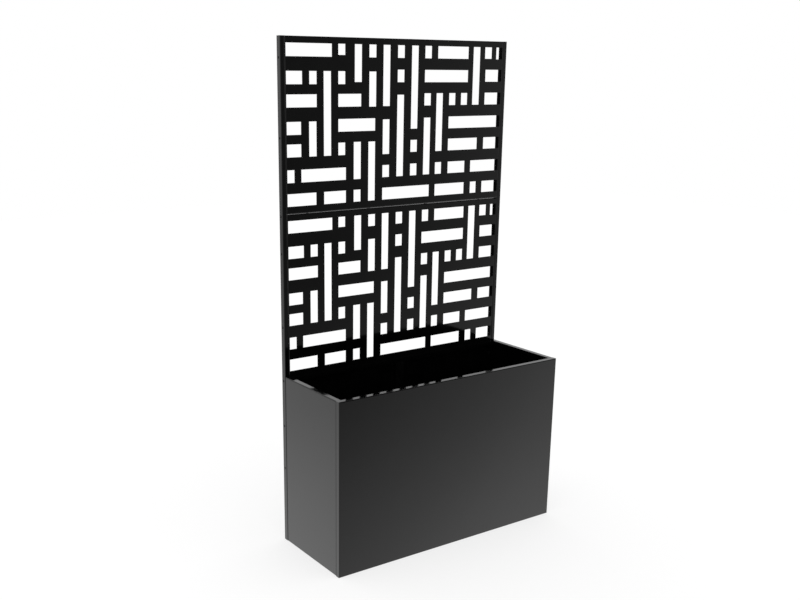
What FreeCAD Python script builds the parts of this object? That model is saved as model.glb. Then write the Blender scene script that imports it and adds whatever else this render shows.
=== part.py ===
import FreeCAD, Part
import os

# A free-standing steel planter box with two pierced screen panels between posts behind it.
# Millimetres. The origin is on the floor under the middle of the whole object.
# +X runs to the right, +Y to the back, +Z up.

Vec = FreeCAD.Vector

# Overall sizes
WIDTH = 914.0
BOX_DEPTH = 323.5
BOX_HEIGHT = 591.0
PANEL_HEIGHT = 539.3
PANEL_GAP = 1.4
SCREEN_DROP = 7.0

# Folded sheet of the box
SHEET = 1.5
BEND = 2.5
RIM = 18.0
RIM_LIP = 12.0
RETURN_SHORT = 1.3
BACK_RETURN = 42.0
SEAM = 0.4
FIT = 0.3

# Posts and their end plugs
POST_WIDTH = 16.0
POST_DEPTH = 21.0
POST_WALL = 2.0
POST_CORNER = 2.0
POST_SEAM = 2.0
CAP_HEAD = 2.0
CAP_PLUG = 14.0
CAP_WALL = 2.5

# Screen panels: sheet, folded edges, and the steel left around the pattern
SCREEN_SHEET = 1.5
SCREEN_DEPTH = 21.0
SIDE_BAR = 3.5
TOP_BAR = 20.3
BOTTOM_BAR = 24.1

# The pattern stands on a grid of columns A to P and rows 1 to 7, with these bars of steel between them
SLOT_WIDTH = 27.7
SLOT_HEIGHT = 39.4
COLUMN_BARS = [54.5, 27, 26, 33, 30.5, 28, 30, 29.5, 27.5, 24, 27, 24.5, 23.5, 26.5, 19.5]
ROW_BARS = [37, 36, 38, 34.5, 39, 35]
COLUMN_NAMES = "ABCDEFGHIJKLMNOP"

# Each slot goes from the first cell named to the last
SLOTS = (
    "A1:C1 D1 E1:E2 F1 G1:G3 H1 I1:I4 J1 K1:M1 N1:N3 O1 P1 "
    "A2 B2 C2:C5 D2 F2:F3 H2 J2:M2 O2:P2 "
    "A3:B3 D3:E3 H3:H6 J3 K3:K5 L3 M3 O3:P3 "
    "A4 B4:B5 D4:F4 G4:G5 J4:J6 L4:P4 "
    "A5 D5 E5:E6 F5:F7 I5 L5:N5 O5:P5 "
    "A6 B6:D6 G6 I6 K6 L6:M6 N6:P6 "
    "A7:B7 C7:D7 E7 G7:J7 K7:M7 N7 O7:P7"
).split()

# How far the left, right, bottom and top of some slots lie off the grid, to the right and up
SHIFTS = {
    "A1:C1": (0, 2.5, 0, 0), "D1": (0, -1, 6, 0), "E1:E2": (2, 2, 0.5, 0), "I1:I4": (0, 0, 2.5, 0),
    "K1:M1": (2.5, 0.5, 0, 0), "N1:N3": (-1, 1.5, 0, 0), "O1": (-3.5, -0.5, 1.5, 0),
    "A2": (0, 30, -6, -6), "B2": (1, 0.5, -6, -6), "C2:C5": (-1, -1, 0, -6), "D2": (0, -1, -6, -6),
    "F2:F3": (0.5, 0.5, -1, -6.5), "J2:M2": (0, 1, 0, 0), "O2:P2": (1, 0, 1.5, 2),
    "A3:B3": (0, 0.5, 0, -0.5), "H3:H6": (0, 0, 0, -4), "K3:K5": (0, 0, -1, 0), "O3:P3": (1, 0, 0, 0.5),
    "A4": (0, 24.5, -5.5, -5.5), "B4:B5": (-1, -1, 0, -5.5), "D4:F4": (0, -2.5, 0, 0),
    "G4:G5": (0, -0.5, -3, -4.5), "J4:J6": (0, 0, 0.5, -2),
    "A5": (0, 24.5, 0, 0), "D5": (0, -1, 0, 0), "E5:E6": (-1, -0.5, -1, 0.5), "F5:F7": (-1.5, -2, 0, 0),
    "L5:N5": (0, -0.5, -0.5, -0.5), "O5:P5": (2, 0, -0.5, -0.5),
    "A6": (0, -1.5, -1, -0.5), "B6:D6": (-31, 2, -1, -0.5), "L6:M6": (1.5, -2.5, 0, 0),
    "A7:B7": (-0.5, -3, -0.5, -0.5), "C7:D7": (-1, 2, -0.5, -0.5), "E7": (-1, -1, 0, -0.5),
    "K7:M7": (1, -3, 0, 0), "N7": (2, 1.5, 0, 0), "O7:P7": (1.5, 0, 0, 0),
}

# Floor tray, the ribs under it and the stiffeners on the long walls
TRAY_TOP = 28.0
TRAY_GAP = 1.0
DRAIN_R = 6.0
DRAIN_INSET = 85.0
RIB_SHEET = 1.5
RIB_CROWN = 32.0
RIB_FOOT = 12.0
RIB_INSET = 157.0
STIFFENER_CROWN = 30.0
STIFFENER_FOOT = 12.0
STIFFENER_HEIGHT = 12.0

# Angles inside the front corners and behind the box
ANGLE_SHEET = 2.0
CORNER_LEG_X = 32.0
CORNER_LEG_Y = 52.0
BRACE_CLEAR = 3.0
POST_ANGLE_LEG = 26.0
POST_ANGLE_TAIL = 42.4

# Fasteners
SCREW_R = 2.0
SCREW_HEAD_R = 4.0
SCREW_SOCKET = 2.5
SCREW_SOCKET_DEPTH = 1.4
SCREW_NUT_FLATS = 7.0
SCREW_NUT_HEIGHT = 3.2
BOLT_R = 2.5
BOLT_HEAD_R = 4.5
BOLT_HEAD_HEIGHT = 2.8
BOLT_NUT_FLATS = 8.0
BOLT_NUT_HEIGHT = 4.0
WASHER_R = 5.0
THREAD_OUT = 1.5
THREAD_CLEAR = 0.1
HOLE_CLEAR = 0.3
SINK_CLEAR = 0.1

# How far the post screws lie below the top of each panel, and below the rim of the box
UPPER_SCREW_DROPS = [63.5, 303.5]
LOWER_SCREW_DROPS = [6.0, 125.0, 367.0]
PLANTER_SCREW_DROPS = [325.0, 174.0, 17.0]
ANGLE_BOLT_DROPS = [291.0, 141.0, 46.0]

# How far the end fasteners of a row lie from the ends of what they hold
CORNER_STUD_INSET = 80.0
SEAM_BOLT_INSET = 97.0

# Places that several pieces share
DEPTH = BOX_DEPTH + POST_SEAM + POST_DEPTH
LEFT = -WIDTH / 2
RIGHT = WIDTH / 2
FRONT = -DEPTH / 2
BOX_BACK = FRONT + BOX_DEPTH
SCREEN_FRONT = BOX_BACK + POST_SEAM
BACK = SCREEN_FRONT + POST_DEPTH
SCREEN_BOTTOM = BOX_HEIGHT - SCREEN_DROP
PANEL_SEAM_Z = SCREEN_BOTTOM + PANEL_HEIGHT
UPPER_BOTTOM = PANEL_SEAM_Z + PANEL_GAP
TOP = UPPER_BOTTOM + PANEL_HEIGHT
POST_INNER = LEFT + POST_WIDTH
POST_MIDDLE = SCREEN_FRONT + POST_DEPTH / 2
SCREEN_LEFT = POST_INNER + FIT
BACK_WALL = BOX_BACK - 2 * SHEET
ANGLE_BOLT_X = POST_INNER + ANGLE_SHEET + (POST_ANGLE_LEG - ANGLE_SHEET) / 2
RIB_X = RIGHT - RIB_INSET
BRACE_TOP = BOX_HEIGHT - SHEET - BRACE_CLEAR
UPPER_SCREWS = [TOP - drop for drop in UPPER_SCREW_DROPS]
SCREEN_SCREWS = UPPER_SCREWS + [PANEL_SEAM_Z - drop for drop in LOWER_SCREW_DROPS]
PLANTER_SCREWS = [BOX_HEIGHT - drop for drop in PLANTER_SCREW_DROPS]
ANGLE_BOLTS = [BOX_HEIGHT - drop for drop in ANGLE_BOLT_DROPS]


def block(x, y, z):
    """A box between two x, two y and two z values."""
    corner = Vec(x[0], y[0], z[0])
    return Part.makeBox(x[1] - x[0], y[1] - y[0], z[1] - z[0], corner)


def middle(span):
    return (span[0] + span[1]) / 2


def row(first, last, count):
    """Evenly spaced places from the first to the last."""
    return [first + (last - first) * i / (count - 1) for i in range(count)]


def rounded(shape, radius, points):
    """The shape with a fillet on the edge whose middle is nearest to each point."""
    edges = []
    for point in points:
        edges.append(min(shape.Edges, key=lambda edge: edge.CenterOfMass.distanceToPoint(Vec(*point))))
    return shape.makeFillet(radius, edges)


def front_edges(x, y, z):
    """Middles of the four edges around the front face of a box."""
    return [
        (x[0], y[0], middle(z)), (x[1], y[0], middle(z)),
        (middle(x), y[0], z[0]), (middle(x), y[0], z[1]),
    ]


def folded_tray(x, y, z, sheet, bend):
    """A sheet with all four edges folded to the back."""
    inside_x = (x[0] + sheet, x[1] - sheet)
    inside_y = (y[0] + sheet, y[1] + sheet)
    inside_z = (z[0] + sheet, z[1] - sheet)
    outer = rounded(block(x, y, z), bend, front_edges(x, y, z))
    hollow = block(inside_x, inside_y, inside_z)
    hollow = rounded(hollow, bend - sheet, front_edges(inside_x, inside_y, inside_z))
    return outer.cut(hollow)


def mirrored(shape):
    """The right-hand twin of a left-hand piece."""
    return shape.mirror(Vec(0, 0, 0), Vec(1, 0, 0))


def rod(radius, point, direction, length):
    return Part.makeCylinder(radius, length, Vec(*point), Vec(*direction))


def placed(shape, point, direction):
    """A shape made along +Z, moved to a point and turned to a direction."""
    moved = shape.copy()
    moved.Placement = FreeCAD.Placement(Vec(*point), FreeCAD.Rotation(Vec(0, 0, 1), Vec(*direction)))
    return moved


def hexagon(flats, height):
    """A hexagonal prism along +Z."""
    ring = Part.makePolygon([
        FreeCAD.Rotation(Vec(0, 0, 1), 60 * i).multVec(Vec(flats / 3 ** 0.5, 0, 0)) for i in range(7)
    ])
    return Part.Face(ring).extrude(Vec(0, 0, height))


def nut(radius, flats, height):
    hole = rod(radius + THREAD_CLEAR, (0, 0, 0), (0, 0, 1), height)
    return hexagon(flats, height).cut(hole)


def sunk_screw(length):
    """A countersunk screw along +Z, its flat head at the origin, with a hexagon socket."""
    sink = SCREW_HEAD_R - SCREW_R
    head = Part.makeCone(SCREW_HEAD_R, SCREW_R, sink)
    shank = rod(SCREW_R, (0, 0, sink), (0, 0, 1), length - sink)
    return head.fuse(shank).removeSplitter().cut(hexagon(SCREW_SOCKET, SCREW_SOCKET_DEPTH))


def bolt(length):
    """A round-head bolt along +Z, with the underside of its head at the origin."""
    head = rod(BOLT_HEAD_R, (0, 0, -BOLT_HEAD_HEIGHT), (0, 0, 1), BOLT_HEAD_HEIGHT)
    head = rounded(head, BOLT_HEAD_HEIGHT / 2, [(0, 0, -BOLT_HEAD_HEIGHT)])
    return head.fuse(rod(BOLT_R, (0, 0, 0), (0, 0, 1), length)).removeSplitter()


def hat_section(crown, foot, height, sheet):
    """Outline of a hat channel in X and Y: feet on y = 0, crown at y = height."""
    half = crown / 2
    points = [
        (-half - foot, 0), (-half - foot, sheet), (-half, sheet), (-half, height), (half, height),
        (half, sheet), (half + foot, sheet), (half + foot, 0), (half - sheet, 0),
        (half - sheet, height - sheet), (sheet - half, height - sheet), (sheet - half, 0),
    ]
    corners = [Vec(x, y, 0) for x, y in points]
    return Part.Face(Part.makePolygon(corners + corners[:1]))


def front_panel():
    """Front wall with its rim, lip and foot, and side returns that stop a little short of the rim's depth."""
    x = (LEFT, RIGHT)
    y = (FRONT, FRONT + RIM)
    panel = folded_tray(x, y, (0, BOX_HEIGHT), SHEET, BEND)
    end = block((LEFT, LEFT + SHEET), (y[1] - RETURN_SHORT, y[1]), (BEND, BOX_HEIGHT - BEND))
    lip_x = (LEFT + RIM, RIGHT - RIM)
    lip = block(lip_x, (y[1] - SHEET, y[1]), (BOX_HEIGHT - RIM_LIP, BOX_HEIGHT - SHEET))
    return panel.cut([end, mirrored(end)]).fuse(lip).removeSplitter()


def angle_bolt_hole(height):
    """Room for one bolt through a post angle and the back of the box."""
    point = (ANGLE_BOLT_X, BACK_WALL - BOLT_R, height)
    return rod(BOLT_R + HOLE_CLEAR, point, (0, 1, 0), 2 * SHEET + ANGLE_SHEET + 2 * BOLT_R)


def left_side_panel():
    """Side wall with its rim, lip and foot, and a return that wraps round to the back."""
    x = (LEFT, LEFT + BACK_RETURN)
    y = (FRONT + RIM + SEAM, BOX_BACK)
    z = (0, BOX_HEIGHT)
    inside_x = (x[0] + SHEET, x[1] + SHEET)
    inside_y = (y[0] - SHEET, y[1] - SHEET)
    inside_z = (SHEET, BOX_HEIGHT - SHEET)
    folds = [(x[0], middle(y), z[0]), (x[0], middle(y), z[1]), (x[0], y[1], middle(z))]
    inner_folds = [
        (inside_x[0], middle(inside_y), inside_z[0]), (inside_x[0], middle(inside_y), inside_z[1]),
        (inside_x[0], inside_y[1], middle(z)),
    ]
    outer = rounded(block(x, y, z), BEND, folds)
    hollow = rounded(block(inside_x, inside_y, inside_z), BEND - SHEET, inner_folds)
    trim = block((LEFT + RIM, inside_x[1]), inside_y, z)
    lip_y = (y[0], BOX_BACK - RIM)
    lip = block((LEFT + RIM - SHEET, LEFT + RIM), lip_y, (BOX_HEIGHT - RIM_LIP, BOX_HEIGHT - SHEET))
    corner = block((LEFT + RIM, x[1]), (y[1] - SHEET, y[1]), (BOX_HEIGHT - SHEET, BOX_HEIGHT))
    panel = outer.cut(hollow).cut(trim).cut(corner).fuse(lip).removeSplitter()
    for height in ANGLE_BOLTS:
        panel = panel.cut(angle_bolt_hole(height))
    return panel


def back_panel():
    """Back wall inside the side returns, with its own rim, lip and foot."""
    x = (LEFT + RIM + SEAM, RIGHT - RIM - SEAM)
    y = (BOX_BACK - RIM, BOX_BACK - SHEET)
    inside_y = (y[0] - SHEET, BACK_WALL)
    inside_z = (SHEET, BOX_HEIGHT - SHEET)
    outer = rounded(block(x, y, (0, BOX_HEIGHT)), BEND, [(0, y[1], 0), (0, y[1], BOX_HEIGHT)])
    hollow = block(x, inside_y, inside_z)
    hollow = rounded(hollow, BEND - SHEET, [(0, inside_y[1], inside_z[0]), (0, inside_y[1], inside_z[1])])
    lip = block(x, (y[0], y[0] + SHEET), (BOX_HEIGHT - RIM_LIP, BOX_HEIGHT - SHEET))
    wings_x = (LEFT + SHEET + FIT, RIGHT - SHEET - FIT)
    wings = block(wings_x, (BACK_WALL, y[1]), (BEND + FIT, BOX_HEIGHT - BEND - FIT))
    wings = rounded(wings, BEND - SHEET, [(wings_x[i], y[1], BOX_HEIGHT / 2) for i in (0, 1)])
    panel = outer.cut(hollow).fuse([lip, wings]).removeSplitter()
    for height in ANGLE_BOLTS:
        hole = angle_bolt_hole(height)
        panel = panel.cut([hole, mirrored(hole)])
    return panel


def drain_points():
    """Centres of the drain holes, two in each bay between the ribs."""
    bays = [(LEFT, -RIB_X), (-RIB_X, 0), (0, RIB_X), (RIB_X, RIGHT)]
    return [(middle(bay), y, 0) for bay in bays for y in (FRONT + DRAIN_INSET, BOX_BACK - DRAIN_INSET)]


def tray_spans():
    """Outside of the floor tray, which stands on the feet of the four walls."""
    x = (LEFT + SHEET + TRAY_GAP, RIGHT - SHEET - TRAY_GAP)
    y = (FRONT + SHEET + TRAY_GAP, BACK_WALL - TRAY_GAP)
    return x, y, (SHEET, TRAY_TOP)


def base_tray():
    """Floor of the soil space: a sheet with its edges folded down, and drain holes."""
    x, y, z = tray_spans()
    folds = [(side, middle(y), z[1]) for side in x] + [(middle(x), side, z[1]) for side in y]
    inside_x = (x[0] + SHEET, x[1] - SHEET)
    inside_y = (y[0] + SHEET, y[1] - SHEET)
    hollow = block(inside_x, inside_y, (z[0] - SHEET, z[1] - SHEET))
    tray = rounded(block(x, y, z), BEND, folds).cut(hollow)
    return tray.cut([rod(DRAIN_R, point, (0, 0, 1), TRAY_TOP + SHEET) for point in drain_points()])


def base_rib(x):
    """Hat channel from front to back under the tray, on the feet of the long walls."""
    _, y, z = tray_spans()
    height = z[1] - SHEET - z[0]
    length = y[1] - y[0] - 2 * (SHEET + FIT)
    rib = hat_section(RIB_CROWN, RIB_FOOT, height, RIB_SHEET).extrude(Vec(0, 0, length))
    rib.rotate(Vec(0, 0, 0), Vec(1, 0, 0), 90)
    rib.translate(Vec(x, y[1] - SHEET - FIT, z[0]))
    return rib


def wall_stiffener(wall, inward):
    """Upright hat channel in the middle of a long wall; inward is +1 or -1 along Y."""
    section = hat_section(STIFFENER_CROWN, STIFFENER_FOOT, STIFFENER_HEIGHT, SHEET)
    channel = section.extrude(Vec(0, 0, BRACE_TOP - TRAY_TOP))
    if inward < 0:
        channel.rotate(Vec(0, 0, 0), Vec(0, 0, 1), 180)
    channel.translate(Vec(0, wall, TRAY_TOP))
    return channel


def stud_x():
    """How far along the front wall the studs of the left corner stand."""
    return LEFT + SHEET + ANGLE_SHEET + (CORNER_LEG_X - ANGLE_SHEET) / 2


def stud_y():
    """How far along the side wall the studs of the corner stand, past the front panel's return."""
    return FRONT + (RIM + SEAM + SHEET + CORNER_LEG_Y) / 2


def corner_stud_places():
    """Start and direction of each weld stud in the left front corner."""
    places = []
    for height in row(TRAY_TOP + CORNER_STUD_INSET, BRACE_TOP - CORNER_STUD_INSET, 3):
        places.append(((stud_x(), FRONT + SHEET, height), (0, 1, 0)))
        places.append(((LEFT + SHEET, stud_y(), height), (1, 0, 0)))
    return places


def corner_angle():
    """Angle inside the left front corner, over the joint of the front and side panels."""
    x = (LEFT + SHEET, LEFT + SHEET + CORNER_LEG_X)
    y = (FRONT + SHEET, FRONT + SHEET + CORNER_LEG_Y)
    z = (TRAY_TOP, BRACE_TOP)
    angle = rounded(block(x, y, z), BEND, [(x[0], y[0], middle(z))])
    angle = angle.cut(block((x[0] + ANGLE_SHEET, x[1]), (y[0] + ANGLE_SHEET, y[1]), z))
    for point, direction in corner_stud_places():
        angle = angle.cut(rod(BOLT_R + HOLE_CLEAR, point, direction, 2 * ANGLE_SHEET))
    return angle


def corner_studs():
    length = ANGLE_SHEET + BOLT_NUT_HEIGHT + THREAD_OUT
    return [rod(BOLT_R, point, direction, length) for point, direction in corner_stud_places()]


def corner_nuts():
    nuts = []
    for point, direction in corner_stud_places():
        seat = Vec(*point) + Vec(*direction) * ANGLE_SHEET
        nuts.append(placed(nut(BOLT_R, BOLT_NUT_FLATS, BOLT_NUT_HEIGHT), seat, direction))
    return nuts


def post_hole(height):
    """Countersunk hole for one screw, through the whole left post and what it holds."""
    point = Vec(LEFT, POST_MIDDLE, height)
    sink = SCREW_HEAD_R - SCREW_R + SINK_CLEAR
    cone = Part.makeCone(SCREW_HEAD_R + SINK_CLEAR, SCREW_R, sink, point, Vec(1, 0, 0))
    return cone.fuse(rod(SCREW_R + HOLE_CLEAR, point, (1, 0, 0), 2 * POST_WIDTH))


def left_post():
    """Rectangular tube from floor to top, between its two end plugs."""
    x = (LEFT, POST_INNER)
    y = (SCREEN_FRONT, BACK)
    z = (CAP_HEAD, TOP - CAP_HEAD)
    corners = [(i, j, middle(z)) for i in x for j in y]
    tube = rounded(block(x, y, z), POST_CORNER, corners)
    bore_x = (x[0] + POST_WALL, x[1] - POST_WALL)
    bore_y = (y[0] + POST_WALL, y[1] - POST_WALL)
    tube = tube.cut(block(bore_x, bore_y, z))
    return tube.cut([post_hole(height) for height in SCREEN_SCREWS + PLANTER_SCREWS])


def post_plug(end, inward):
    """Plug in one end of the left post; inward is +1 from the floor and -1 from the top."""
    x = (LEFT, POST_INNER)
    y = (SCREEN_FRONT, BACK)
    head = block(x, y, (0, CAP_HEAD))
    head = rounded(head, POST_CORNER, [(i, j, CAP_HEAD / 2) for i in x for j in y])
    gap = POST_WALL + FIT
    stem_x = (x[0] + gap, x[1] - gap)
    stem_y = (y[0] + gap, y[1] - gap)
    stem = block(stem_x, stem_y, (CAP_HEAD, CAP_HEAD + CAP_PLUG))
    core_x = (stem_x[0] + CAP_WALL, stem_x[1] - CAP_WALL)
    core_y = (stem_y[0] + CAP_WALL, stem_y[1] - CAP_WALL)
    plug = head.fuse(stem.cut(block(core_x, core_y, (CAP_HEAD, CAP_HEAD + CAP_PLUG)))).removeSplitter()
    if inward < 0:
        plug = plug.mirror(Vec(0, 0, 0), Vec(0, 0, 1))
    plug.translate(Vec(0, 0, end))
    return plug


def grid(bars, slot):
    """Start and end of each line of slots, from the first slot's start."""
    lines = [(0.0, slot)]
    for bar in bars:
        start = lines[-1][1] + bar
        lines.append((start, start + slot))
    return lines


def slot_spans(bottom):
    """The x and z spans of every slot, with the grid scaled to a panel that stands on this height."""
    columns = grid(COLUMN_BARS, SLOT_WIDTH)
    rows = grid(ROW_BARS, SLOT_HEIGHT)
    left = SCREEN_LEFT + SIDE_BAR
    top = bottom + PANEL_HEIGHT - TOP_BAR
    wide = -2 * left / columns[-1][1]
    high = (PANEL_HEIGHT - TOP_BAR - BOTTOM_BAR) / rows[-1][1]
    spans = []
    for slot in SLOTS:
        cells = slot.split(":")
        shift = SHIFTS.get(slot, (0, 0, 0, 0))
        first, last = [columns[COLUMN_NAMES.index(cell[0])] for cell in (cells[0], cells[-1])]
        upper, lower = [rows[int(cell[1]) - 1] for cell in (cells[0], cells[-1])]
        x = (left + wide * (first[0] + shift[0]), left + wide * (last[1] + shift[1]))
        z = (top - high * (lower[1] - shift[2]), top - high * (upper[0] - shift[3]))
        spans.append((x, z))
    return spans


def screen_panel(bottom):
    """Pierced sheet with folded edges, screwed to the posts and bolted to the other panel."""
    x = (SCREEN_LEFT, -SCREEN_LEFT)
    y = (SCREEN_FRONT, SCREEN_FRONT + SCREEN_DEPTH)
    panel = folded_tray(x, y, (bottom, bottom + PANEL_HEIGHT), SCREEN_SHEET, BEND)
    depth = (y[0] - SCREEN_SHEET, y[0] + 2 * SCREEN_SHEET)
    panel = panel.cut([block(slot_x, depth, slot_z) for slot_x, slot_z in slot_spans(bottom)])
    holes = [post_hole(height) for height in SCREEN_SCREWS]
    panel = panel.cut(holes + [mirrored(hole) for hole in holes])
    start = PANEL_SEAM_Z - 2 * SCREEN_SHEET
    length = PANEL_GAP + 4 * SCREEN_SHEET
    return panel.cut([rod(BOLT_R + HOLE_CLEAR, point, (0, 0, 1), length) for point in seam_points(start)])


def seam_points(height):
    """Places of the bolts that join the two panels, at this height."""
    y = SCREEN_FRONT + SCREEN_DEPTH / 2
    return [(x, y, height) for x in row(LEFT + SEAM_BOLT_INSET, RIGHT - SEAM_BOLT_INSET, 4)]


def seam_bolts():
    """Bolts down through the folded edges of both panels and the washers between them."""
    length = 2 * SCREEN_SHEET + PANEL_GAP + BOLT_NUT_HEIGHT + THREAD_OUT
    return [placed(bolt(length), point, (0, 0, -1)) for point in seam_points(UPPER_BOTTOM + SCREEN_SHEET)]


def seam_washers():
    """Washers that keep the panels apart."""
    washers = []
    for point in seam_points(PANEL_SEAM_Z):
        hole = rod(BOLT_R + HOLE_CLEAR, point, (0, 0, 1), PANEL_GAP)
        washers.append(rod(WASHER_R, point, (0, 0, 1), PANEL_GAP).cut(hole))
    return washers


def seam_nuts():
    one = nut(BOLT_R, BOLT_NUT_FLATS, BOLT_NUT_HEIGHT)
    return [placed(one, point, (0, 0, -1)) for point in seam_points(PANEL_SEAM_Z - SCREEN_SHEET)]


def post_screws(heights, seat):
    """Screws from the outer side of the left post to nuts on the seat."""
    length = seat - LEFT + SCREW_NUT_HEIGHT + THREAD_OUT
    return [placed(sunk_screw(length), (LEFT, POST_MIDDLE, height), (1, 0, 0)) for height in heights]


def post_nuts(heights, seat):
    one = nut(SCREW_R, SCREW_NUT_FLATS, SCREW_NUT_HEIGHT)
    return [placed(one, (seat, POST_MIDDLE, height), (1, 0, 0)) for height in heights]


def post_angle():
    """Angle behind the box, down past the lowest screw: one leg on the box, one on the left post."""
    z = (min(PLANTER_SCREWS) - POST_ANGLE_TAIL, SCREEN_BOTTOM - SEAM)
    x = (POST_INNER, POST_INNER + POST_ANGLE_LEG)
    y = (BOX_BACK, BACK - FIT)
    angle = rounded(block(x, y, z), BEND, [(x[0], y[0], middle(z))])
    angle = angle.cut(block((x[0] + ANGLE_SHEET, x[1]), (y[0] + ANGLE_SHEET, y[1]), z))
    holes = [post_hole(height) for height in PLANTER_SCREWS]
    return angle.cut(holes + [angle_bolt_hole(height) for height in ANGLE_BOLTS])


def angle_bolts():
    length = ANGLE_SHEET + 2 * SHEET + BOLT_NUT_HEIGHT + THREAD_OUT
    points = [(ANGLE_BOLT_X, BOX_BACK + ANGLE_SHEET, height) for height in ANGLE_BOLTS]
    return [placed(bolt(length), point, (0, -1, 0)) for point in points]


def angle_nuts():
    one = nut(BOLT_R, BOLT_NUT_FLATS, BOLT_NUT_HEIGHT)
    return [placed(one, (ANGLE_BOLT_X, BACK_WALL, height), (0, -1, 0)) for height in ANGLE_BOLTS]


def pieces():
    """Every piece by name."""
    screen_seat = SCREEN_LEFT + SCREEN_SHEET
    angle_seat = POST_INNER + ANGLE_SHEET
    made = {
        "front_panel": front_panel(),
        "back_panel": back_panel(),
        "base_tray": base_tray(),
        "left_base_rib": base_rib(-RIB_X),
        "middle_base_rib": base_rib(0),
        "right_base_rib": base_rib(RIB_X),
        "front_stiffener": wall_stiffener(FRONT + SHEET, 1),
        "back_stiffener": wall_stiffener(BACK_WALL, -1),
        "upper_screen_panel": screen_panel(UPPER_BOTTOM),
        "lower_screen_panel": screen_panel(SCREEN_BOTTOM),
        "seam_bolts": Part.makeCompound(seam_bolts()),
        "seam_washers": Part.makeCompound(seam_washers()),
        "seam_nuts": Part.makeCompound(seam_nuts()),
    }
    pairs = {
        "side_panel": left_side_panel(),
        "corner_angle": corner_angle(),
        "corner_studs": Part.makeCompound(corner_studs()),
        "corner_nuts": Part.makeCompound(corner_nuts()),
        "post": left_post(),
        "post_cap": post_plug(TOP, -1),
        "post_foot": post_plug(0, 1),
        "post_angle": post_angle(),
        "angle_bolts": Part.makeCompound(angle_bolts()),
        "angle_nuts": Part.makeCompound(angle_nuts()),
        "screen_screws": Part.makeCompound(post_screws(SCREEN_SCREWS, screen_seat)),
        "screen_nuts": Part.makeCompound(post_nuts(SCREEN_SCREWS, screen_seat)),
        "planter_screws": Part.makeCompound(post_screws(PLANTER_SCREWS, angle_seat)),
        "planter_nuts": Part.makeCompound(post_nuts(PLANTER_SCREWS, angle_seat)),
    }
    for name, shape in pairs.items():
        made["left_" + name] = shape
        made["right_" + name] = mirrored(shape)
    return made


os.makedirs("parts", exist_ok=True)
for name, shape in pieces().items():
    shape.exportStep("parts/" + name + ".step")
    print(name, "solids", len(shape.Solids), "volume", round(shape.Volume))
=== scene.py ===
import math
from collections import namedtuple

import bmesh
import bpy
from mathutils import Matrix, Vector


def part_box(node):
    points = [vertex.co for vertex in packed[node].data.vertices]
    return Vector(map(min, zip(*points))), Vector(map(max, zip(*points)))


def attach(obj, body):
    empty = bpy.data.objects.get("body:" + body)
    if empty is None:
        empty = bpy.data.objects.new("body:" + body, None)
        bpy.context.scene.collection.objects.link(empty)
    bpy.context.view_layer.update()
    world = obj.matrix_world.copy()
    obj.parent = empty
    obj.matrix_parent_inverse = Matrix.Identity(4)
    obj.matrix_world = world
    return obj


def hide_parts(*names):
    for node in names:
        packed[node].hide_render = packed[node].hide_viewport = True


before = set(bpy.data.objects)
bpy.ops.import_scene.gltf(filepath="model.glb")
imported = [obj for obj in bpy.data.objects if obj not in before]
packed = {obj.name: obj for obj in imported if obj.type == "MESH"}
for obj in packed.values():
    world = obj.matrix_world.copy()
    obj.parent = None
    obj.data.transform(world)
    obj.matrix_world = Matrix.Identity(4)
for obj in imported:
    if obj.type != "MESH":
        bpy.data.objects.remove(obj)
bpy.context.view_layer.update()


# Box walls: four panels of 1.5 mm steel, each folded with a flat rim on top and a narrow foot below.
# They are powder coated in a smooth, glossy black after folding, so the coat runs round every bend.
# It is a little paler along the bends and edges, where handling rubs it.
WALLS = ["front_panel", "back_panel", "left_side_panel", "right_side_panel"]
MM = 0.001
Clouds = namedtuple("Clouds", "per_metre detail low high")
Bumps = namedtuple("Bumps", "per_metre detail strength depth")
CLOUD_MIDDLE = (0.3, 0.7)
COAT_IOR = 1.56
COAT_BLACK = Clouds(per_metre=22, detail=4, low=0.0007, high=0.0015)
COAT_GLOSS = Clouds(per_metre=14, detail=6, low=0.06, high=0.1)
ORANGE_PEEL = Bumps(per_metre=700, detail=2, strength=0.03, depth=0.1 * MM)
RUBBED_GREY = 0.008
RUB_PATCHES = Clouds(per_metre=60, detail=5, low=0, high=1)
RUB_REACH = 1.2 * MM
RUB_SAMPLES = 4
FLAT_LIKENESS = 0.99
BEND_LIKENESS = 0.78


def lay(tree, kind, place, inputs=None, **settings):
    """Adds a node to a tree, and sets its properties and the values of its inputs."""
    node = tree.nodes.new(kind)
    node.location = place
    for name, value in settings.items():
        setattr(node, name, value)
    for name, value in (inputs or {}).items():
        node.inputs[name].default_value = value
    return node


def wire(tree, *links):
    """Links nodes. A link is a node, its output, the next node and its input."""
    for giver, output, taker, entry in links:
        tree.links.new(giver.outputs[output], taker.inputs[entry])


def grain(tree, place, pattern):
    """Soft cloudy noise on the piece's own coordinates."""
    where = lay(tree, "ShaderNodeTexCoord", (place[0] - 200, place[1]))
    noise = lay(tree, "ShaderNodeTexNoise", place, {"Scale": pattern.per_metre, "Detail": pattern.detail})
    wire(tree, (where, "Object", noise, "Vector"))
    return noise


def drift(tree, place, clouds):
    """A value that drifts between two levels in soft clouds: the middle of a noise, spread out."""
    least, most = CLOUD_MIDDLE
    spread = lay(tree, "ShaderNodeMapRange", (place[0] + 200, place[1]), {
        "From Min": least, "From Max": most, "To Min": clouds.low, "To Max": clouds.high,
    })
    wire(tree, (grain(tree, place, clouds), "Fac", spread, "Value"))
    return spread


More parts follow.
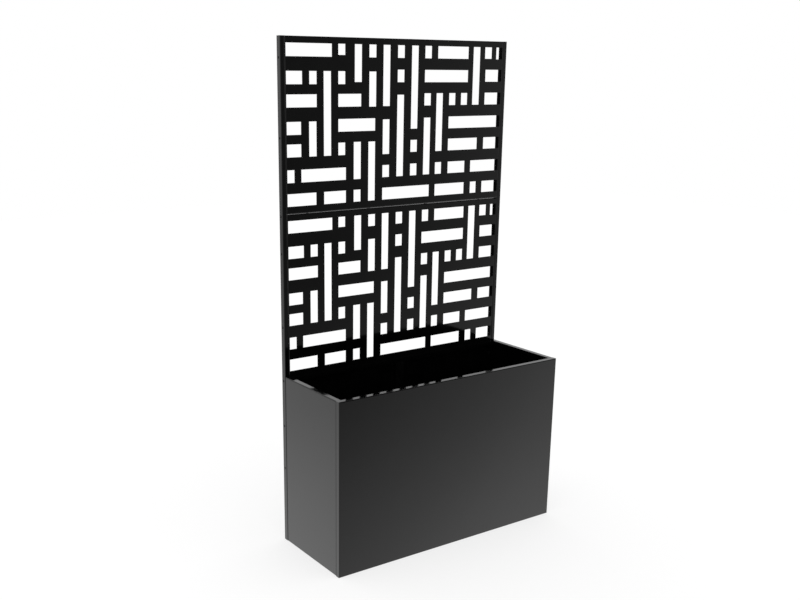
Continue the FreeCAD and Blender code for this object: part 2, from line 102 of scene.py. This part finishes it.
def rubbed_edges(tree, place):
    """One along bends and cut edges, in patches, and nought on flat sheet.
    An edge is where the surface, softened over the reach, faces another way than it does itself."""
    x, y = place
    softened = lay(tree, "ShaderNodeBevel", (x, y), {"Radius": RUB_REACH}, samples=RUB_SAMPLES)
    plain = lay(tree, "ShaderNodeNewGeometry", (x, y - 180))
    likeness = lay(tree, "ShaderNodeVectorMath", (x + 200, y), operation="DOT_PRODUCT")
    bent = lay(tree, "ShaderNodeMapRange", (x + 400, y), {
        "From Min": FLAT_LIKENESS, "From Max": BEND_LIKENESS,
    })
    rubbed = lay(tree, "ShaderNodeMath", (x + 600, y), operation="MULTIPLY")
    wire(
        tree,
        (softened, "Normal", likeness, 0),
        (plain, "Normal", likeness, 1),
        (likeness, "Value", bent, "Value"),
        (bent, "Result", rubbed, 0),
        (drift(tree, (x + 200, y - 250), RUB_PATCHES), "Result", rubbed, 1),
    )
    return rubbed


def new_finish(name, ior, dullness, bumps):
    """A material whose roughness drifts over a finely bumped surface, with its tree and its shader."""
    finish = bpy.data.materials.new(name)
    finish.use_nodes = True
    tree = finish.node_tree
    skin = tree.nodes["Principled BSDF"]
    skin.inputs["IOR"].default_value = ior
    raised = lay(tree, "ShaderNodeBump", (-200, -300), {"Strength": bumps.strength, "Distance": bumps.depth})
    wire(
        tree,
        (drift(tree, (-600, 0), dullness), "Result", skin, "Roughness"),
        (grain(tree, (-600, -300), bumps), "Fac", raised, "Height"),
        (raised, "Normal", skin, "Normal"),
    )
    return finish, tree, skin


def powder_coat(name, gloss=COAT_GLOSS, peel=ORANGE_PEEL):
    """Black powder coat: cloudy colour and gloss, fine orange peel, paler rubbed edges."""
    finish, tree, skin = new_finish(name, COAT_IOR, gloss, peel)
    worn = lay(tree, "ShaderNodeMix", (0, 300), {"B": RUBBED_GREY}, data_type="FLOAT")
    wire(
        tree,
        (rubbed_edges(tree, (-1100, 700)), "Value", worn, "Factor"),
        (drift(tree, (-600, 300), COAT_BLACK), "Result", worn, "A"),
        (worn, "Result", skin, "Base Color"),
    )
    return finish


def dress(nodes, finish):
    """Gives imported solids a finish."""
    for node in nodes:
        packed[node].data.materials.clear()
        packed[node].data.materials.append(finish)


dress(WALLS, powder_coat("box_powder_coat"))


# Inner steel: the floor tray with its drain holes, the ribs under it, the stiffeners on the long walls,
# and the angles in the front corners and behind the box. All are folded sheet in the same coat,
# a shade duller because they are never wiped.
INNER_STEEL = [
    "base_tray", "left_base_rib", "middle_base_rib", "right_base_rib", "front_stiffener", "back_stiffener",
    "left_corner_angle", "right_corner_angle", "left_post_angle", "right_post_angle",
]
INNER_GLOSS = COAT_GLOSS._replace(low=0.16, high=0.26)
INNER_PEEL = ORANGE_PEEL._replace(strength=0.06)
inner_coat = powder_coat("inner_powder_coat", INNER_GLOSS, INNER_PEEL)
dress(INNER_STEEL, inner_coat)


# Spot welds: rows of shallow round marks where the stiffeners' feet are welded to the long walls.
# They are part of the steel and lie under the coat.
WELD_PITCH = 46 * MM
WELD_INSET = 20 * MM
WELD_RADIUS = 3.2 * MM
WELD_RISE = 0.3 * MM
WELD_ROUNDNESS = 3
FOOT = 12 * MM
FOOT_SHEET = 1.5 * MM


def new_tree(name, inputs, output):
    """A Geometry Nodes tree with named inputs and one output, and its two end nodes."""
    tree = bpy.data.node_groups.new(name, "GeometryNodeTree")
    for title, kind in inputs.items():
        tree.interface.new_socket(title, in_out="INPUT", socket_type="NodeSocket" + kind)
    tree.interface.new_socket(output, in_out="OUTPUT", socket_type="NodeSocketGeometry")
    return tree, lay(tree, "NodeGroupInput", (-1200, 0)), lay(tree, "NodeGroupOutput", (600, 0))


def finish_off(tree, given, copies, done):
    """Makes a tree's copies real and gives them the finish."""
    real = lay(tree, "GeometryNodeRealizeInstances", (200, 0))
    coated = lay(tree, "GeometryNodeSetMaterial", (400, 0))
    wire(
        tree,
        (copies, "Instances", real, "Geometry"),
        (real, "Geometry", coated, "Geometry"),
        (given, "Finish", coated, "Material"),
        (coated, "Geometry", done, 0),
    )


def weld_tree():
    """Round marks of a given size at an even pitch along paths."""
    inputs = {"Paths": "Geometry", "Pitch": "Float", "Mark": "Vector", "Finish": "Material"}
    tree, given, done = new_tree("spot_weld_row", inputs, "Welds")
    line = lay(tree, "GeometryNodeMeshToCurve", (-900, 100))
    spaced = lay(tree, "GeometryNodeResampleCurve", (-600, 100), mode="LENGTH")
    mark = lay(tree, "GeometryNodeMeshIcoSphere", (-600, -150), {"Radius": 1, "Subdivisions": WELD_ROUNDNESS})
    smooth = lay(tree, "GeometryNodeSetShadeSmooth", (-300, -150))
    set_down = lay(tree, "GeometryNodeInstanceOnPoints", (0, 0))
    wire(
        tree,
        (given, "Paths", line, "Mesh"),
        (line, "Curve", spaced, "Curve"),
        (given, "Pitch", spaced, "Length"),
        (mark, "Mesh", smooth, "Geometry"),
        (spaced, "Curve", set_down, "Points"),
        (smooth, "Geometry", set_down, "Instance"),
        (given, "Mark", set_down, "Scale"),
    )
    finish_off(tree, given, set_down, done)
    return tree


def grown(name, mesh, tree, values):
    """A piece that a tree grows on a mesh, kept as a plain mesh. Values go to the inputs of their names, and
    those that the tree has no input for are passed over."""
    piece = bpy.data.objects.new(name, mesh)
    bpy.context.scene.collection.objects.link(piece)
    growth = piece.modifiers.new(tree.name, "NODES")
    growth.node_group = tree
    for socket in tree.interface.items_tree:
        if socket.in_out == "INPUT" and socket.name in values:
            growth[socket.identifier] = values[socket.name]
    graph = bpy.context.evaluated_depsgraph_get()
    result = bpy.data.meshes.new_from_object(piece.evaluated_get(graph))
    piece.modifiers.remove(growth)
    piece.data = result
    return piece


spot_weld_row = weld_tree()
for stiffener in ("front_stiffener", "back_stiffener"):
    low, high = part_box(stiffener)
    face = low.y + FOOT_SHEET if low.y < 0 else high.y - FOOT_SHEET
    ends = []
    for x in (low.x + FOOT / 2, high.x - FOOT / 2):
        ends += [(x, face, low.z + WELD_INSET), (x, face, high.z - WELD_INSET)]
    paths = bpy.data.meshes.new(stiffener + "_weld_paths")
    paths.from_pydata(ends, [(0, 1), (2, 3)], [])
    welds = grown(stiffener + "_welds", paths, spot_weld_row, {
        "Pitch": WELD_PITCH, "Mark": (WELD_RADIUS, WELD_RISE, WELD_RADIUS), "Finish": inner_coat,
    })
    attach(welds, "root")


# Corner studs and nuts: threaded studs welded to the inside of the front and side walls hold the corner
# angles with hexagon nuts. Studs and nuts are plain zinc-plated steel.
Ring = namedtuple("Ring", "half height hexagon lean", defaults=(False, 0))
SIDES = 24
SIXTH = math.pi / 3
SHARP_FROM = math.radians(32)
SAME_POINT = 0.001 * MM
COUNT_WAY = Vector((1, 2, 5))
AIM = "aim"
THREAD_SIZES = ["Thread radius", "Thread depth", "Thread start", "Thread length", "Thread pitch"]
THREAD_PITCH = 0.8 * MM
THREAD_DEPTH = 0.28 * MM
THREAD_STEPS = 16
RIDGE_SIDES = 4
END_CHAMFER = 0.5 * MM
NUT_BORE = 0.6
NUT_LAND = 0.96
NUT_SINK = 0.3 * MM
NUT_LEAN = math.tan(math.radians(30))
ZINC_IOR = 1.45
ZINC_DARK = (0.46, 0.47, 0.49, 1)
ZINC_PALE = (0.62, 0.63, 0.64, 1)
ZINC_BLOOM = Clouds(per_metre=350, detail=4, low=0, high=1)
ZINC_DULLNESS = Clouds(per_metre=500, detail=4, low=0.28, high=0.48)
ZINC_TOOTH = Bumps(per_metre=3000, detail=3, strength=0.2, depth=0.05 * MM)


def solid_boxes(node):
    """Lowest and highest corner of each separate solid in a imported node, counted from the lowest up."""
    shell = bmesh.new()
    shell.from_mesh(packed[node].data)
    bmesh.ops.remove_doubles(shell, verts=shell.verts, dist=SAME_POINT)
    waiting = set(shell.verts)
    boxes = []
    while waiting:
        reach = [waiting.pop()]
        low = high = reach[0].co
        while reach:
            vert = reach.pop()
            low = Vector(map(min, low, vert.co))
            high = Vector(map(max, high, vert.co))
            for edge in vert.link_edges:
                other = edge.other_vert(vert)
                if other in waiting:
                    waiting.remove(other)
                    reach.append(other)
        boxes.append((low, high))
    shell.free()
    return sorted(boxes, key=lambda box: box[0].dot(COUNT_WAY))


def seats(node, along):
    """Where each fastener of a node starts and which way it points, and its length and half width.
    Along is max for long fasteners and min for nuts. Every one points towards the middle of the object."""
    places = []
    for low, high in solid_boxes(node):
        size = high - low
        axis = along(range(3), key=lambda i: size[i])
        middle = (low + high) / 2
        aim = Vector((0, 0, 0))
        aim[axis] = -1 if middle[axis] > 0 else 1
        places.append((middle - aim * size[axis] / 2, aim))
    across = [size[i] for i in range(3) if i != axis]
    return places, size[axis], min(across) / 2


def turned(name, rings, hollow=False):
    """A turned or hexagonal shape along +Z. A ring has its half width, its height, whether it is a hexagon,
    and how much its corners lean up."""
    shape = bmesh.new()
    rows = []
    for ring in rings:
        row = []
        for side in range(SIDES):
            angle = 2 * math.pi * side / SIDES
            from_corner = abs((angle + SIXTH / 2) % SIXTH - SIXTH / 2)
            out = ring.half / math.cos(SIXTH / 2 - from_corner) if ring.hexagon else ring.half
            height = ring.height + ring.lean * (out - ring.half)
            row.append(shape.verts.new((out * math.cos(angle), out * math.sin(angle), height)))
        rows.append(row)
    for i in range(len(rows) - (0 if hollow else 1)):
        near, far = rows[i], rows[(i + 1) % len(rows)]
        for side in range(SIDES):
            following = (side + 1) % SIDES
            shape.faces.new((near[side], near[following], far[following], far[side]))
    if not hollow:
        shape.faces.new(rows[0])
        shape.faces.new(rows[-1])
    bmesh.ops.recalc_face_normals(shape, faces=shape.faces)
    mesh = bpy.data.meshes.new(name)
    shape.to_mesh(mesh)
    shape.free()
    mesh.shade_smooth()
    mesh.set_sharp_from_angle(angle=SHARP_FROM)
    return bpy.data.objects.new(name, mesh)


def shank(core, start, length):
    """Rings of a shank with a chamfered end."""
    return [Ring(core, start), Ring(core, length - END_CHAMFER), Ring(core - END_CHAMFER, length)]


def stud(length, half):
    """A bare shank, and its radius under the thread."""
    core = half - THREAD_DEPTH
    return turned("stud", shank(core, 0, length)), core


def nut(height, half):
    """A hexagon nut with chamfered corners on both faces and a countersunk bore, and the bore's radius."""
    bore = half * NUT_BORE
    land = half * NUT_LAND
    mouth = bore + NUT_SINK
    return turned("nut", [
        Ring(mouth, 0), Ring(land, 0), Ring(half, 0, True, NUT_LEAN),
        Ring(half, height, True, -NUT_LEAN), Ring(land, height), Ring(mouth, height),
        Ring(bore, height - NUT_SINK), Ring(bore, NUT_SINK),
    ], hollow=True), bore


def rolled_thread(tree, given):
    """A ridge that winds up a shank at a given pitch."""
    turns = lay(tree, "ShaderNodeMath", (-900, 50), operation="DIVIDE")
    helix = lay(tree, "GeometryNodeCurveSpiral", (-700, 50), {"Resolution": THREAD_STEPS})
    start = lay(tree, "ShaderNodeCombineXYZ", (-700, -200))
    lifted = lay(tree, "GeometryNodeTransform", (-500, 50))
    ridge = lay(tree, "GeometryNodeCurvePrimitiveCircle", (-500, -250), {"Resolution": RIDGE_SIDES})
    rolled = lay(tree, "GeometryNodeCurveToMesh", (-350, 50), {"Fill Caps": True})
    wire(
        tree,
        (given, "Thread length", turns, 0),
        (given, "Thread pitch", turns, 1),
        (turns, "Value", helix, "Rotations"),
        (given, "Thread radius", helix, "Start Radius"),
        (given, "Thread radius", helix, "End Radius"),
        (given, "Thread length", helix, "Height"),
        (given, "Thread start", start, "Z"),
        (helix, "Curve", lifted, "Geometry"),
        (start, "Vector", lifted, "Translation"),
        (given, "Thread depth", ridge, "Radius"),
        (lifted, "Geometry", rolled, "Curve"),
        (ridge, "Curve", rolled, "Profile Curve"),
    )
    return rolled


def fastener_tree(name, sizes):
    """Sets one fastener on every place, turned at random about its axis, threaded where sizes are named."""
    inputs = {"Places": "Geometry", "Fastener": "Object", "Finish": "Material", "Seed": "Int"}
    inputs.update((size, "Float") for size in sizes)
    tree, given, done = new_tree(name, inputs, "Fasteners")
    one = lay(tree, "GeometryNodeObjectInfo", (-900, 300))
    whole = lay(tree, "GeometryNodeJoinGeometry", (-200, 300))
    wire(tree, (given, "Fastener", one, "Object"), (one, "Geometry", whole, "Geometry"))
    if sizes:
        wire(tree, (rolled_thread(tree, given), "Mesh", whole, "Geometry"))
    way = lay(tree, "GeometryNodeInputNamedAttribute", (-900, -450), {"Name": AIM}, data_type="FLOAT_VECTOR")
    pointed = lay(tree, "FunctionNodeAlignRotationToVector", (-700, -450), axis="Z")
    chance = lay(tree, "FunctionNodeRandomValue", (-900, -700), {"Max": 2 * math.pi}, data_type="FLOAT")
    about = lay(tree, "ShaderNodeCombineXYZ", (-700, -700))
    spin = lay(tree, "FunctionNodeEulerToRotation", (-500, -700))
    both = lay(tree, "FunctionNodeRotateRotation", (-300, -450), rotation_space="LOCAL")
    set_in = lay(tree, "GeometryNodeInstanceOnPoints", (0, 0))
    wire(
        tree,
        (way, "Attribute", pointed, "Vector"),
        (given, "Seed", chance, "Seed"),
        (chance, "Value", about, "Z"),
        (about, "Vector", spin, "Euler"),
        (pointed, "Rotation", both, "Rotation"),
        (spin, "Rotation", both, "Rotate By"),
        (given, "Places", set_in, "Points"),
        (whole, "Geometry", set_in, "Instance"),
        (both, "Rotation", set_in, "Rotation"),
    )
    finish_off(tree, given, set_in, done)
    return tree


def zinc_plate(name):
    """Zinc plate: pale bluish metal with a cloudy bloom and a fine tooth."""
    finish, tree, skin = new_finish(name, ZINC_IOR, ZINC_DULLNESS, ZINC_TOOTH)
    skin.inputs["Metallic"].default_value = 1
    tint = lay(tree, "ShaderNodeMix", (-200, 300), {"A": ZINC_DARK, "B": ZINC_PALE}, data_type="RGBA")
    wire(
        tree,
        (drift(tree, (-600, 300), ZINC_BLOOM), "Result", tint, "Factor"),
        (tint, "Result", skin, "Base Color"),
    )
    return finish


def fastened(node, along, shape_of, tree, finish, seed, thread_start=0.0):
    """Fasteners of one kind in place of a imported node, made to the sizes that the node has."""
    places, length, half = seats(node, along)
    shape, core = shape_of(length, half)
    points = bpy.data.meshes.new(node + "_places")
    points.from_pydata([start for start, aim in places], [], [])
    aims = points.attributes.new(AIM, "FLOAT_VECTOR", "POINT")
    for spot, (start, aim) in zip(aims.data, places):
        spot.vector = aim
    thread = [core, THREAD_DEPTH, thread_start, length - thread_start - END_CHAMFER, THREAD_PITCH]
    values = {"Fastener": shape, "Finish": finish, "Seed": seed, **dict(zip(THREAD_SIZES, thread))}
    piece = grown(node + "_set", points, tree, values)
    bpy.data.objects.remove(shape)
    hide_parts(node)
    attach(piece, "root")


threaded = fastener_tree("threaded_fasteners", THREAD_SIZES)
plain_nuts = fastener_tree("nuts", [])
zinc = zinc_plate("zinc_plate")
for side in ("left", "right"):
    fastened(side + "_corner_studs", max, stud, threaded, zinc, seed=3)
    fastened(side + "_corner_nuts", min, nut, plain_nuts, zinc, seed=5)


# Angle bolts: round-head bolts from behind, through the post angle and the doubled back of the box,
# with hexagon nuts inside. Steel with a dull black oxide, so nothing shines in the open box.
SOCKET_MOUTH = 1.3
BOLT_SOCKET = 1.5 * MM
BOLT_SOCKET_FLOOR = 1.7 * MM
BOLT_SOCKET_LIP = 0.3 * MM
BOLT_DOME = [(0.55, 0.02 * MM), (0.78, 0.42 * MM), (0.94, 1.1 * MM), (1, 1.9 * MM)]
BOLT_HEAD = 2.8 * MM
BOLT_BRIM = 0.15 * MM
BOLT_UNDERSIDE = 0.97
BOLT_SHANK = 2.5 * MM
BOLT_RUNOUT = 0.4 * MM
BOLT_THREAD_START = BOLT_HEAD + 1 * MM
OXIDE_IOR = 1.25
OXIDE_MOTTLE = Clouds(per_metre=400, detail=4, low=0.002, high=0.006)
OXIDE_DULLNESS = Clouds(per_metre=600, detail=3, low=0.55, high=0.7)
OXIDE_TOOTH = Bumps(per_metre=4000, detail=2, strength=0.2, depth=0.05 * MM)


def socket(half, floor, lip):
    """Rings of a hexagon socket, from its floor to its rounded mouth in the top of the head."""
    return [Ring(half, floor, True), Ring(half, lip, True), Ring(half * SOCKET_MOUTH, 0)]


def round_bolt(length, half):
    """A domed head with a hexagon socket on a shank, and the shank's radius under the thread."""
    core = BOLT_SHANK - THREAD_DEPTH
    rings = socket(BOLT_SOCKET, BOLT_SOCKET_FLOOR, BOLT_SOCKET_LIP)
    rings += [Ring(half * share, height) for share, height in BOLT_DOME]
    rings += [Ring(half, BOLT_HEAD - BOLT_BRIM), Ring(half * BOLT_UNDERSIDE, BOLT_HEAD)]
    rings += [Ring(BOLT_SHANK, BOLT_HEAD)] + shank(core, BOLT_HEAD + BOLT_RUNOUT, length)
    return turned("bolt", rings), core


def cloudy_finish(name, ior, colour, dullness, bumps):
    """A finish with one grey that drifts in clouds."""
    finish, tree, skin = new_finish(name, ior, dullness, bumps)
    wire(tree, (drift(tree, (-600, 300), colour), "Result", skin, "Base Color"))
    return finish


black_oxide = cloudy_finish("black_oxide", OXIDE_IOR, OXIDE_MOTTLE, OXIDE_DULLNESS, OXIDE_TOOTH)
for side in ("left", "right"):
    fastened(
        side + "_angle_bolts", max, round_bolt, threaded, black_oxide, seed=7,
        thread_start=BOLT_THREAD_START,
    )
    fastened(side + "_angle_nuts", min, nut, plain_nuts, black_oxide, seed=9)


# Posts: two rectangular steel tubes from the floor to the top of the screen, drilled and countersunk
# on the outer side. They have the same black coat as the box.
dress(["left_post", "right_post"], powder_coat("post_powder_coat"))


# Post ends: moulded black plastic plugs, pressed into the top and foot of each tube.
# Their surface is finely grained, so it is duller than the coat.
PLUGS = ["left_post_cap", "right_post_cap", "left_post_foot", "right_post_foot"]
PLASTIC_IOR = 1.5
PLASTIC_BLACK = Clouds(per_metre=90, detail=3, low=0.004, high=0.008)
PLASTIC_DULLNESS = Clouds(per_metre=40, detail=3, low=0.3, high=0.42)
PLASTIC_GRAIN = Bumps(per_metre=2200, detail=2, strength=0.25, depth=0.1 * MM)
dress(PLUGS, cloudy_finish("plug_plastic", PLASTIC_IOR, PLASTIC_BLACK, PLASTIC_DULLNESS, PLASTIC_GRAIN))


# Screen: two laser-cut steel panels with all four edges folded back, one on top of the other.
# They are screwed to the posts and bolted to each other, and have the same black coat.
dress(["upper_screen_panel", "lower_screen_panel"], powder_coat("screen_powder_coat"))


# Seam bolts: four round-head bolts with nuts join the folded edges of the two panels from inside,
# with a washer between the edges. Plain zinc-plated steel, out of sight from the front.
fastened("seam_bolts", max, round_bolt, threaded, zinc, seed=11, thread_start=BOLT_THREAD_START)
fastened("seam_nuts", min, nut, plain_nuts, zinc, seed=13)
dress(["seam_washers"], zinc)


# Post screws: countersunk screws with a hexagon socket, driven flush into the outer side of the posts,
# with nuts behind the screen's folded edge or the post angle. All are black, so that none shows in a slot.
SCREW_SOCKET = 1.25 * MM
SCREW_SOCKET_FLOOR = 1.4 * MM
SCREW_SOCKET_LIP = 0.25 * MM
SCREW_EDGE_IN = 0.2 * MM
SCREW_EDGE_DOWN = 0.15 * MM
SCREW_SHANK = 2.0 * MM
SCREW_RUNOUT = 0.3 * MM
SCREW_THREAD_START = 2.5 * MM


def sunk_screw(length, half):
    """A flat countersunk head with a hexagon socket on a shank, and the shank's radius under the thread."""
    core = SCREW_SHANK - THREAD_DEPTH
    sink = half - SCREW_SHANK
    rings = socket(SCREW_SOCKET, SCREW_SOCKET_FLOOR, SCREW_SOCKET_LIP)
    rings += [Ring(half - SCREW_EDGE_IN, 0), Ring(half, SCREW_EDGE_DOWN), Ring(SCREW_SHANK, sink)]
    rings += shank(core, sink + SCREW_RUNOUT, length)
    return turned("screw", rings), core


for side in ("left", "right"):
    for held in ("screen", "planter"):
        fastened(
            f"{side}_{held}_screws", max, sunk_screw, threaded, black_oxide, seed=17,
            thread_start=SCREW_THREAD_START,
        )
        fastened(f"{side}_{held}_nuts", min, nut, plain_nuts, black_oxide, seed=19)


# Floor: a white studio floor that goes on to the horizon and keeps the object's soft shadow.
# It isn't part of the object.
FLOOR_REACH = 9
FLOOR_GREY = (0.35, 0.35, 0.35, 1)
FLOOR_GLOW = 0.68
CORNERS = [(-1, -1), (1, -1), (1, 1), (-1, 1)]
floor_mesh = bpy.data.meshes.new("studio_floor")
floor_mesh.from_pydata([(x * FLOOR_REACH, y * FLOOR_REACH, 0) for x, y in CORNERS], [], [(0, 1, 2, 3)])
floor = bpy.data.objects.new("studio_floor", floor_mesh)
bpy.context.scene.collection.objects.link(floor)
floor.visible_glossy = False

pale = bpy.data.materials.new("pale_floor")
pale.use_nodes = True
tree = pale.node_tree
tree.nodes.clear()
path = lay(tree, "ShaderNodeLightPath", (-700, 200))
matt = lay(tree, "ShaderNodeBsdfDiffuse", (-400, 100), {"Color": FLOOR_GREY})
glow = lay(tree, "ShaderNodeEmission", (-400, -100), {"Strength": FLOOR_GLOW})
unlit = lay(tree, "ShaderNodeEmission", (-400, -250), {"Strength": 0})
white = lay(tree, "ShaderNodeMixShader", (-200, -100))
both = lay(tree, "ShaderNodeAddShader", (0, 0))
done = lay(tree, "ShaderNodeOutputMaterial", (200, 0))
wire(
    tree,
    (path, "Is Camera Ray", white, "Fac"),
    (unlit, "Emission", white, 1),
    (glow, "Emission", white, 2),
    (matt, "BSDF", both, 0),
    (white, "Shader", both, 1),
    (both, "Shader", done, "Surface"),
)
floor_mesh.materials.append(pale)


# Light: an even white studio. The gloss of the coat mirrors it: white floor and walls all round, a dimmer
# band at the foot of the walls, the darker side of the room in front, and two black cards, a small one at
# the back left and a large one overhead in front.
WALL_LEVELS = [
    (-0.5, 1.25), (-0.4, 1.09), (-0.32, 0.87), (-0.24, 0.75), (-0.16, 0.57), (-0.06, 0.72),
    (0.0, 0.78), (0.3, 0.8),
]
DARK_SIDE = Vector((0, -1, 0.1)).normalized()
DARKNESS = [
    (0.6, 1.03), (0.636, 0.9), (0.664, 0.72), (0.692, 0.59), (0.734, 0.43), (0.77, 0.3),
    (0.83, 0.17), (0.87, 0.14), (0.94, 0.4), (1.0, 0.5),
]
Card = namedtuple("Card", "turn rise reach edge")
CARDS = [Card(turn=43, rise=-6, reach=13, edge=5), Card(turn=211, rise=54, reach=49, edge=6.5)]
CARD_LEVEL = 0.02


def dot(tree, place, way, direction):
    """How far a ray goes along a direction."""
    product = lay(tree, "ShaderNodeVectorMath", place, operation="DOT_PRODUCT")
    product.inputs[1].default_value = direction
    wire(tree, (way, "Generated", product, 0))
    return product


def multiplied(tree, place, light, output, shade, shade_output):
    """One light dimmed by another."""
    mix = lay(tree, "ShaderNodeMix", place, {"Factor": 1}, data_type="RGBA", blend_type="MULTIPLY")
    wire(tree, (light, output, mix, "A"), (shade, shade_output, mix, "B"))
    return mix


def levels(tree, place, value, output, stops):
    """A grey that follows a value through stops, each a value and its level."""
    low, high = stops[0][0], stops[-1][0]
    spread = lay(tree, "ShaderNodeMapRange", place, {"From Min": low, "From Max": high})
    ramp = lay(tree, "ShaderNodeValToRGB", (place[0] + 200, place[1]))
    elements = ramp.color_ramp.elements
    for i, (at, level) in enumerate(stops):
        spot = (at - low) / (high - low)
        stop = elements[i] if i < len(elements) else elements.new(spot)
        stop.position = spot
        stop.color = (level, level, level, 1)
    wire(tree, (value, output, spread, "Value"), (spread, "Result", ramp, "Fac"))
    return ramp


def carded(tree, place, way, light, card):
    """Light with a black card in it. The card's turn goes from the back to the left, and its turn, its rise,
    its half width and its soft edge are in degrees."""
    turn, rise, reach, edge = map(math.radians, card)
    towards = (-math.sin(turn) * math.cos(rise), math.cos(turn) * math.cos(rise), math.sin(rise))
    cover = lay(tree, "ShaderNodeMapRange", (place[0] - 200, place[1]), {
        "From Min": math.cos(reach), "From Max": math.cos(reach - edge), "To Min": 1, "To Max": CARD_LEVEL,
    })
    wire(tree, (dot(tree, (place[0] - 400, place[1]), way, towards), "Value", cover, "Value"))
    return multiplied(tree, place, light, "Result", cover, "Result")


world = bpy.data.worlds.new("white_studio")
bpy.context.scene.world = world
world.use_nodes = True
tree = world.node_tree
tree.nodes.clear()
way = lay(tree, "ShaderNodeTexCoord", (-1600, 0))
height = lay(tree, "ShaderNodeSeparateXYZ", (-1400, -200))
wire(tree, (way, "Generated", height, "Vector"))
walls = levels(tree, (-1200, -200), height, "Z", WALL_LEVELS)
darker = levels(tree, (-1200, 200), dot(tree, (-1400, 200), way, DARK_SIDE), "Value", DARKNESS)
mirrored = multiplied(tree, (-800, 0), walls, "Color", darker, "Color")
for i, card in enumerate(CARDS):
    mirrored = carded(tree, (-600 + 200 * i, -400 - 300 * i), way, mirrored, card)
even = lay(tree, "ShaderNodeBackground", (-200, 150), {"Color": (1, 1, 1, 1)})
studio = lay(tree, "ShaderNodeBackground", (-200, -50))
path = lay(tree, "ShaderNodeLightPath", (-200, 500))
seen = lay(tree, "ShaderNodeMixShader", (0, 100))
done = lay(tree, "ShaderNodeOutputWorld", (200, 100))
wire(
    tree,
    (mirrored, "Result", studio, "Color"),
    (path, "Is Glossy Ray", seen, "Fac"),
    (even, "Background", seen, 1),
    (studio, "Background", seen, 2),
    (seen, "Shader", done, "Surface"),
)


# Camera: stands to the left of the front, above the box, and looks a little down.
# The shift puts the object where it stands in the picture.
CAMERA_PLACE = (-2.0191, -2.5713, 1.5282)
CAMERA_TURN = math.radians(33.2445)
CAMERA_TILT = math.radians(15.767)
IMAGE_WIDTH = 800
FOCAL_PIXELS = 990.7
SHIFT_PIXELS = (58.28, 61.81)
SENSOR_WIDTH = 36
lens = bpy.data.cameras.new("photo_camera")
lens.sensor_width = SENSOR_WIDTH
lens.sensor_fit = "HORIZONTAL"
lens.lens = FOCAL_PIXELS * SENSOR_WIDTH / IMAGE_WIDTH
lens.shift_x = SHIFT_PIXELS[0] / IMAGE_WIDTH
lens.shift_y = SHIFT_PIXELS[1] / IMAGE_WIDTH
camera = bpy.data.objects.new("photo_camera", lens)
camera.location = CAMERA_PLACE
camera.rotation_euler = (math.pi / 2 - CAMERA_TILT, 0, -CAMERA_TURN)
bpy.context.scene.collection.objects.link(camera)
bpy.context.scene.camera = camera
bpy.context.scene.view_settings.view_transform = "Standard"
